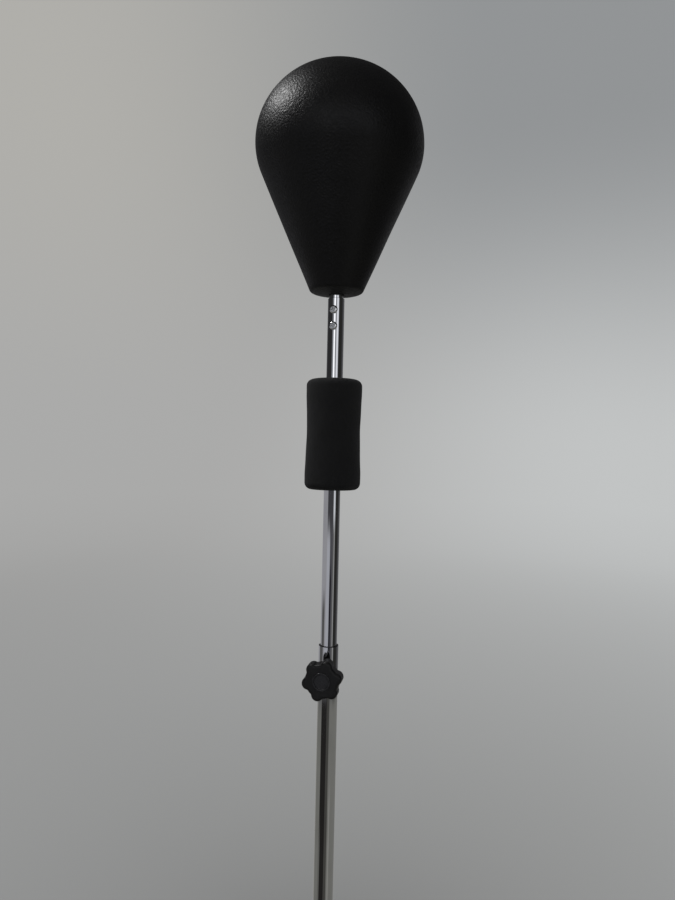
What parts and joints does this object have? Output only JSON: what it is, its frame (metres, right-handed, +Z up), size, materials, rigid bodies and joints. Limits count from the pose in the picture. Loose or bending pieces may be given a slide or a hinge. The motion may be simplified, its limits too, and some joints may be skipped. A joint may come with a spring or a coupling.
{
  "type": "free-standing punch ball stand",
  "caption": "Tear-drop punch ball on a spring and foam sleeve, on a telescopic chrome pole with a star clamp knob and a weighted round base.",
  "frame": {"origin": "on the floor under the pole's axis, at the centre of the round base", "axes": "+Z up along the pole; -Y towards the front, where the clamp knob faces, and the two stem screws 5 degrees off towards -X; +X to the right, where the base's filler cap is"},
  "size_m": [0.4399, 0.44, 1.496],
  "materials": {
    "moulded_ball_skin": "self-skinned polyurethane, satin, fine grain",
    "ball_foam": "closed-cell foam",
    "sleeve_foam": "soft closed-cell foam, matt",
    "chrome_tube": "bright chrome plate, polished",
    "screw_zinc": "bright zinc plate",
    "spring_steel": "oiled spring steel",
    "seat_steel": "black painted steel",
    "hub_plastic": "moulded nylon",
    "bush_plastic": "moulded black plastic",
    "knob_plastic": "moulded black plastic, fine texture",
    "knob_cap_plastic": "glossy moulded black plastic",
    "fastener_steel": "zinc-plated steel",
    "pad_plastic": "natural nylon",
    "base_plastic": "blow-moulded polyethylene, fine texture",
    "collar_plastic": "moulded black plastic",
    "cap_plastic": "moulded black plastic",
    "foot_rubber": "soft black rubber",
    "seal_rubber": "soft rubber",
    "ballast_sand": "dry sand"
  },
  "bodies": {
    "base": {"base_shell": "base_plastic", "sand_fill": "ballast_sand", "base_collar": "collar_plastic", "tube_foot_plug": "seat_steel", "base_bolt": "fastener_steel", "base_washer": "fastener_steel", "rubber_feet": "foot_rubber", "outer_tube": "chrome_tube", "lock_boss": "chrome_tube"},
    "bush": {"guide_bush": "bush_plastic"},
    "pole": {"mid_tube": "chrome_tube", "mid_tube_end_cap": "bush_plastic", "lower_spring_seat": "seat_steel"},
    "sleeve": {"spring": "spring_steel", "foam_sleeve": "sleeve_foam"},
    "head": {"upper_spring_seat": "seat_steel", "head_tube": "chrome_tube", "stem_tube": "chrome_tube", "stem_plate": "seat_steel", "stem_screws": "screw_zinc", "ball_hub": "hub_plastic", "ball_foam": "ball_foam", "ball_skin": "moulded_ball_skin"},
    "pad": {"pressure_pad": "pad_plastic"},
    "knob": {"knob_body": "knob_plastic", "knob_stud": "fastener_steel", "knob_cap": "knob_cap_plastic"},
    "seal": {"filler_seal": "seal_rubber"},
    "cap": {"filler_cap": "cap_plastic"}
  },
  "joints": [
    {"name": "pole_swivel", "type": "hinge", "parent": "base", "child": "bush", "pos_m": [0, 0, 0.6236], "axis": [0, 0, 1], "continuous": true},
    {"name": "pole_slide", "type": "slide", "parent": "bush", "child": "pole", "axis": [0, 0, 1], "range_m": [-0.23, 0.09]},
    {"name": "spring_bend_front", "type": "hinge", "parent": "pole", "child": "sleeve", "pos_m": [0, 0, 0.9155], "axis": [1, 0, 0], "range_deg": [-40, 40], "stiffness_Nm_per_rad": 55, "deforming": ["spring", "foam_sleeve"]},
    {"name": "spring_bend_side", "type": "hinge", "parent": "sleeve", "child": "head", "pos_m": [0, 0, 0.971], "axis": [0, 1, 0], "range_deg": [-40, 40], "stiffness_Nm_per_rad": 55, "deforming": ["spring", "foam_sleeve"]},
    {"name": "pad_slide", "type": "slide", "parent": "base", "child": "pad", "axis": [0, -1, 0], "range_m": [0, 0.003]},
    {"name": "knob_turn", "type": "hinge", "parent": "pad", "child": "knob", "pos_m": [0, -0.037, 0.5827], "axis": [0, -1, 0], "range_deg": [0, 720]},
    {"name": "seal_lift", "type": "slide", "parent": "base", "child": "seal", "axis": [0, 0, 1], "range_m": [0, 0.01]},
    {"name": "cap_turn", "type": "hinge", "parent": "seal", "child": "cap", "pos_m": [0.15, 0, 0.105], "axis": [0, 0, 1], "range_deg": [0, 900]}
  ],
  "couplings": [
    {"joint": "pad_slide", "follows": "knob_turn", "m_per_rad": 0.00023873},
    {"joint": "seal_lift", "follows": "cap_turn", "m_per_rad": 0.00063662}
  ]
}
